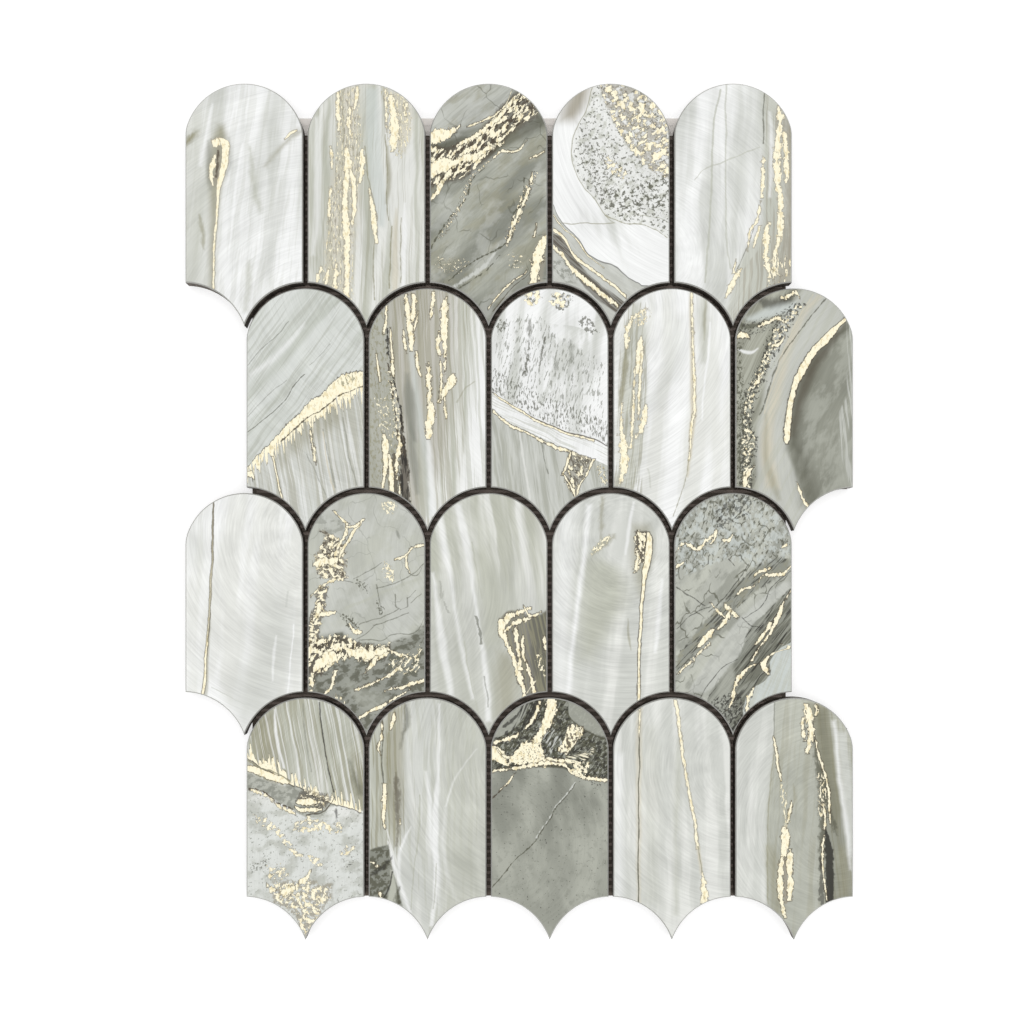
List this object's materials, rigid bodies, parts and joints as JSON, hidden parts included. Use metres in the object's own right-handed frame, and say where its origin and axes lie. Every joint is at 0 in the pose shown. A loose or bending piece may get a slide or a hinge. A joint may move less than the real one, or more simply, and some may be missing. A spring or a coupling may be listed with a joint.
{
  "type": "fish scale mosaic tile sheet",
  "caption": "Flat sheet of brushed aluminium fish scale chips with a grey-green marble and gold vein print, in staggered rows on a mesh backing.",
  "frame": {"origin": "middle of the sheet, on the underside of the mesh backing", "axes": "+X to the right along the rows, +Y up the wall towards the round crowns, +Z out of the chips' printed faces"},
  "size_m": [0.2338, 0.3, 0.0055],
  "materials": {
    "printed_aluminium": "brushed, printed with grey-green marble and pale gold veins under a satin coat",
    "glass_fibre_net": "pale beige woven glass-fibre net stiffened with glue"
  },
  "bodies": {
    "root": {"chip_row1_1": "printed_aluminium", "chip_row1_2": "printed_aluminium", "chip_row1_3": "printed_aluminium", "chip_row1_4": "printed_aluminium", "chip_row1_5": "printed_aluminium", "chip_row2_1": "printed_aluminium", "chip_row2_2": "printed_aluminium", "chip_row2_3": "printed_aluminium", "chip_row2_4": "printed_aluminium", "chip_row2_5": "printed_aluminium", "chip_row3_1": "printed_aluminium", "chip_row3_2": "printed_aluminium", "chip_row3_3": "printed_aluminium", "chip_row3_4": "printed_aluminium", "chip_row3_5": "printed_aluminium", "chip_row4_1": "printed_aluminium", "chip_row4_2": "printed_aluminium", "chip_row4_3": "printed_aluminium", "chip_row4_4": "printed_aluminium", "chip_row4_5": "printed_aluminium", "mesh_backing": "glass_fibre_net"}
  },
  "joints": []
}
